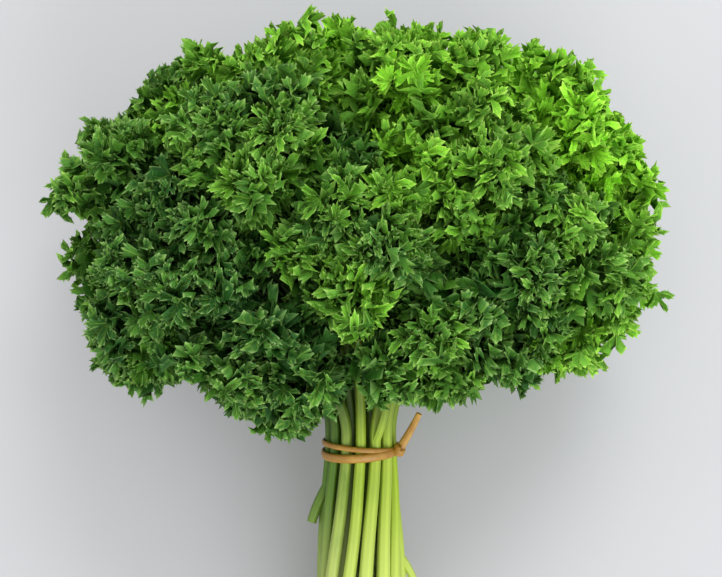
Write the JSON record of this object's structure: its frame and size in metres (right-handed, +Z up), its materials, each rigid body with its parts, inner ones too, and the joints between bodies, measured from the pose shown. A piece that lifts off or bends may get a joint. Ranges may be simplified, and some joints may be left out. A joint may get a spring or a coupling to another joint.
{
  "type": "parsley bunch",
  "caption": "Bunch of fresh curly parsley, lying down, its leafy stems held together by a rubber band wound twice round them.",
  "frame": {"origin": "on the surface that the bunch lies on, under the middle of its box", "axes": "+Y along the bunch from its cut ends to the crown of its head, +Z up, +X across the head"},
  "size_m": [0.1758, 0.2038, 0.1183],
  "materials": {
    "leaf": "satin",
    "stem": "satin",
    "band": "satin"
  },
  "bodies": {
    "root": {"stem_01": "stem", "frond_01": "leaf", "stem_02": "stem", "frond_02": "leaf", "stem_03": "stem", "frond_03": "leaf", "stem_04": "stem", "frond_04": "leaf", "stem_05": "stem", "frond_05": "leaf", "stem_06": "stem", "frond_06": "leaf", "stem_07": "stem", "frond_07": "leaf", "stem_08": "stem", "frond_08": "leaf", "stem_09": "stem", "frond_09": "leaf", "stem_10": "stem", "frond_10": "leaf", "stem_11": "stem", "frond_11": "leaf", "stem_12": "stem", "frond_12": "leaf", "stem_13": "stem", "frond_13": "leaf", "stem_14": "stem", "frond_14": "leaf", "stem_15": "stem", "frond_15": "leaf", "stem_16": "stem", "frond_16": "leaf", "stem_17": "stem", "frond_17": "leaf", "stem_18": "stem", "frond_18": "leaf", "stem_19": "stem", "frond_19": "leaf", "stem_20": "stem", "frond_20": "leaf", "stem_21": "stem", "frond_21": "leaf", "stem_22": "stem", "frond_22": "leaf", "rubber_band": "band"}
  },
  "joints": []
}
